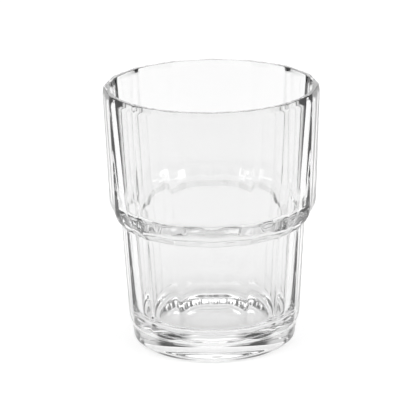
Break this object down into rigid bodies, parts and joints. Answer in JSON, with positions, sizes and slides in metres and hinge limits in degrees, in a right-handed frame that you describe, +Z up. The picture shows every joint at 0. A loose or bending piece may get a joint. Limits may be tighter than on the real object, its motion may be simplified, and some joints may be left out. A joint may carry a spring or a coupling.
{
  "type": "stacking drinking glass",
  "caption": "Clear pressed cortado glass: a faceted wall that steps in at a shoulder, a smooth round inside and a plain round foot, so that it nests in another glass.",
  "frame": {"origin": "middle of the base, on the surface that the glass stands on", "axes": "+Z up along the axis of the glass; an edge between two flats faces -Y"},
  "size_m": [0.0734, 0.0734, 0.09],
  "materials": {
    "clear_glass": "clear, fire-polished"
  },
  "bodies": {
    "root": {"tumbler": "clear_glass"}
  },
  "joints": []
}
